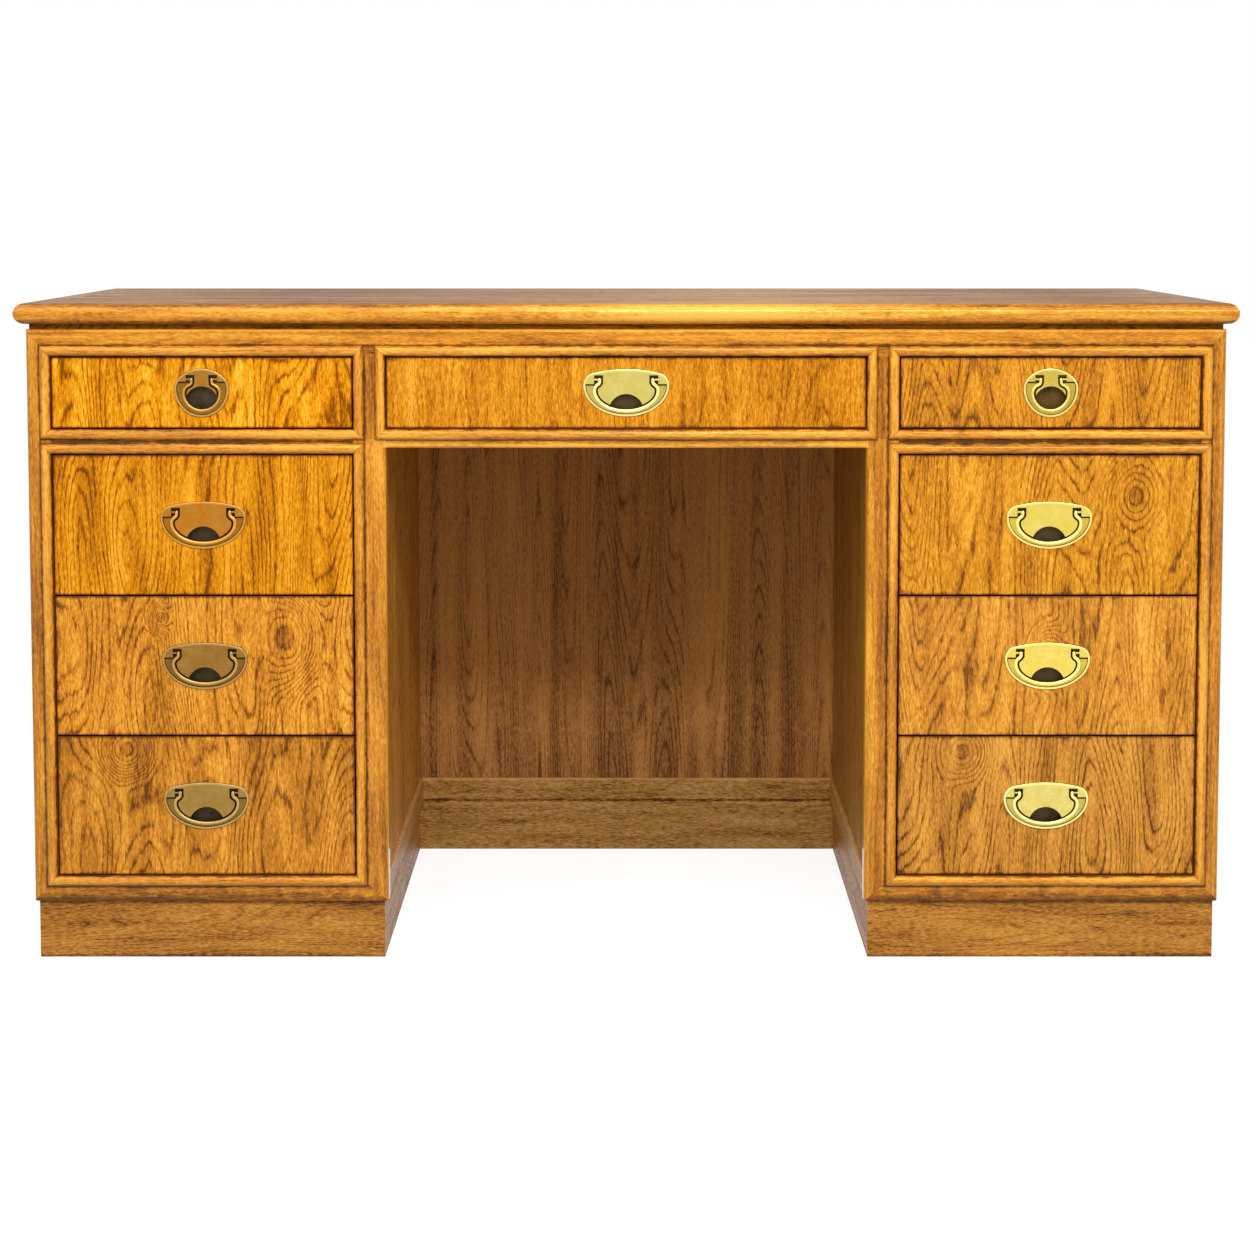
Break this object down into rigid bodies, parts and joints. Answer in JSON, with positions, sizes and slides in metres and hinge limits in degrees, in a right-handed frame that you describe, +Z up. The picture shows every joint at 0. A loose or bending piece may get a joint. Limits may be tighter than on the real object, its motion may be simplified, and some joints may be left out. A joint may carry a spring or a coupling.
{
  "type": "pedestal desk",
  "caption": "Oak kneehole desk: two drawer pedestals and a shallow centre drawer under a bullnosed top, with beaded fronts and brass flush bail pulls.",
  "frame": {"origin": "on the floor under the middle of the top", "axes": "+X to the sitter's right, +Y from the drawer fronts to the back, +Z up"},
  "size_m": [1.397, 0.6, 0.762],
  "materials": {
    "oak_fronts": "satin lacquer",
    "oak_frame": "satin lacquer, worn arrises",
    "oak_case": "satin lacquer",
    "oak_dark": "satin lacquer, darkened",
    "oak_top": "satin lacquer, faded",
    "drawer_wood": "bare",
    "brass_bright": "polished, lightly aged",
    "brass_aged": "browned"
  },
  "bodies": {
    "carcase": {"top_panel": "oak_top", "top_edge_moulding": "oak_frame", "sub_top_moulding": "oak_dark", "left_outer_side": "oak_case", "left_inner_side": "oak_case", "right_inner_side": "oak_case", "right_outer_side": "oak_case", "modesty_panel": "oak_dark", "pedestal_backs": "oak_dark", "front_stiles": "oak_frame", "back_stiles": "oak_frame", "top_rail": "oak_frame", "pedestal_rails": "oak_frame", "apron_rail": "oak_frame", "left_beads": "oak_frame", "centre_bead": "oak_frame", "right_beads": "oak_frame", "left_plinth": "oak_dark", "right_plinth": "oak_dark", "modesty_plinth": "oak_dark", "base_rails": "oak_dark", "pedestal_floors": "drawer_wood", "dust_panels": "drawer_wood", "drawer_runners": "drawer_wood"},
    "centre_drawer": {"centre_front": "oak_fronts", "centre_box": "drawer_wood", "centre_pull_plate": "brass_bright"},
    "centre_handle": {"centre_bail": "brass_bright"},
    "left_top_drawer": {"left_top_front": "oak_fronts", "left_top_box": "drawer_wood", "left_top_pull_plate": "brass_aged"},
    "left_top_handle": {"left_top_bail": "brass_aged"},
    "left_lower_drawer": {"left_lower_front": "oak_fronts", "left_lower_box": "drawer_wood", "left_lower_pull_plate": "brass_aged"},
    "left_lower_handle": {"left_lower_bail": "brass_aged"},
    "left_middle_drawer": {"left_middle_front": "oak_fronts", "left_middle_box": "drawer_wood", "left_middle_pull_plate": "brass_aged"},
    "left_middle_handle": {"left_middle_bail": "brass_aged"},
    "left_upper_drawer": {"left_upper_front": "oak_fronts", "left_upper_box": "drawer_wood", "left_upper_pull_plate": "brass_aged"},
    "left_upper_handle": {"left_upper_bail": "brass_aged"},
    "right_top_drawer": {"right_top_front": "oak_fronts", "right_top_box": "drawer_wood", "right_top_pull_plate": "brass_bright"},
    "right_top_handle": {"right_top_bail": "brass_bright"},
    "right_lower_drawer": {"right_lower_front": "oak_fronts", "right_lower_box": "drawer_wood", "right_lower_pull_plate": "brass_bright"},
    "right_lower_handle": {"right_lower_bail": "brass_bright"},
    "right_middle_drawer": {"right_middle_front": "oak_fronts", "right_middle_box": "drawer_wood", "right_middle_pull_plate": "brass_bright"},
    "right_middle_handle": {"right_middle_bail": "brass_bright"},
    "right_upper_drawer": {"right_upper_front": "oak_fronts", "right_upper_box": "drawer_wood", "right_upper_pull_plate": "brass_bright"},
    "right_upper_handle": {"right_upper_bail": "brass_bright"}
  },
  "joints": [
    {"name": "centre_slide", "type": "slide", "parent": "carcase", "child": "centre_drawer", "axis": [0, -1, 0], "range_m": [0, 0.36]},
    {"name": "centre_bail_swing", "type": "hinge", "parent": "centre_drawer", "child": "centre_handle", "pos_m": [0, -0.2862, 0.6742], "axis": [-1, 0, 0], "range_deg": [0, 90]},
    {"name": "left_top_slide", "type": "slide", "parent": "carcase", "child": "left_top_drawer", "axis": [0, -1, 0], "range_m": [0, 0.36]},
    {"name": "left_top_bail_swing", "type": "hinge", "parent": "left_top_drawer", "child": "left_top_handle", "pos_m": [-0.48625, -0.2862, 0.67455], "axis": [-1, 0, 0], "range_deg": [0, 90]},
    {"name": "left_lower_slide", "type": "slide", "parent": "carcase", "child": "left_lower_drawer", "axis": [0, -1, 0], "range_m": [0, 0.36]},
    {"name": "left_lower_bail_swing", "type": "hinge", "parent": "left_lower_drawer", "child": "left_lower_handle", "pos_m": [-0.48625, -0.2862, 0.1947], "axis": [-1, 0, 0], "range_deg": [0, 90]},
    {"name": "left_middle_slide", "type": "slide", "parent": "carcase", "child": "left_middle_drawer", "axis": [0, -1, 0], "range_m": [0, 0.36]},
    {"name": "left_middle_bail_swing", "type": "hinge", "parent": "left_middle_drawer", "child": "left_middle_handle", "pos_m": [-0.48625, -0.2862, 0.3582], "axis": [-1, 0, 0], "range_deg": [0, 90]},
    {"name": "left_upper_slide", "type": "slide", "parent": "carcase", "child": "left_upper_drawer", "axis": [0, -1, 0], "range_m": [0, 0.36]},
    {"name": "left_upper_bail_swing", "type": "hinge", "parent": "left_upper_drawer", "child": "left_upper_handle", "pos_m": [-0.48625, -0.2862, 0.5217], "axis": [-1, 0, 0], "range_deg": [0, 90]},
    {"name": "right_top_slide", "type": "slide", "parent": "carcase", "child": "right_top_drawer", "axis": [0, -1, 0], "range_m": [0, 0.36]},
    {"name": "right_top_bail_swing", "type": "hinge", "parent": "right_top_drawer", "child": "right_top_handle", "pos_m": [0.48625, -0.2862, 0.67455], "axis": [-1, 0, 0], "range_deg": [0, 90]},
    {"name": "right_lower_slide", "type": "slide", "parent": "carcase", "child": "right_lower_drawer", "axis": [0, -1, 0], "range_m": [0, 0.36]},
    {"name": "right_lower_bail_swing", "type": "hinge", "parent": "right_lower_drawer", "child": "right_lower_handle", "pos_m": [0.48625, -0.2862, 0.1947], "axis": [-1, 0, 0], "range_deg": [0, 90]},
    {"name": "right_middle_slide", "type": "slide", "parent": "carcase", "child": "right_middle_drawer", "axis": [0, -1, 0], "range_m": [0, 0.36]},
    {"name": "right_middle_bail_swing", "type": "hinge", "parent": "right_middle_drawer", "child": "right_middle_handle", "pos_m": [0.48625, -0.2862, 0.3582], "axis": [-1, 0, 0], "range_deg": [0, 90]},
    {"name": "right_upper_slide", "type": "slide", "parent": "carcase", "child": "right_upper_drawer", "axis": [0, -1, 0], "range_m": [0, 0.36]},
    {"name": "right_upper_bail_swing", "type": "hinge", "parent": "right_upper_drawer", "child": "right_upper_handle", "pos_m": [0.48625, -0.2862, 0.5217], "axis": [-1, 0, 0], "range_deg": [0, 90]}
  ]
}
